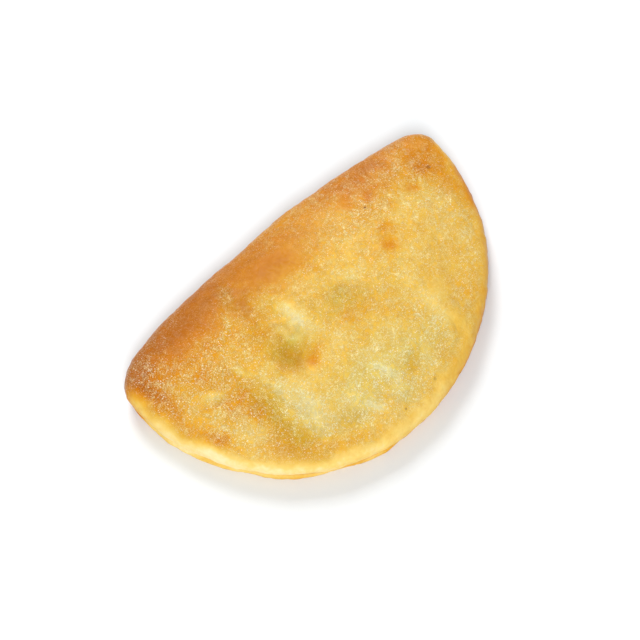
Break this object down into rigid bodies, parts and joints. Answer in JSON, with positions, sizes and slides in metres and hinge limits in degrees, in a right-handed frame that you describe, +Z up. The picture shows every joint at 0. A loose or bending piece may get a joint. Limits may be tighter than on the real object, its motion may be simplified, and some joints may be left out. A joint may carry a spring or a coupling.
{
  "type": "empanada",
  "caption": "Half-moon filled pastry with a folded back, a round pressed rim and a domed, dimpled golden top; lies flat on a table.",
  "frame": {"origin": "middle of the outline seen from above, at the height of the flat underside", "axes": "+X along the fold towards the blunter tip, +Y from the round rim to the fold, +Z up through the domed top"},
  "size_m": [0.1306, 0.0795, 0.0204],
  "materials": {
    "crust": "baked dough: golden with fine pale grains, brown along the fold and at the tips, pale round the rim, faintly oiled"
  },
  "bodies": {
    "root": {"pastry": "crust"}
  },
  "joints": []
}
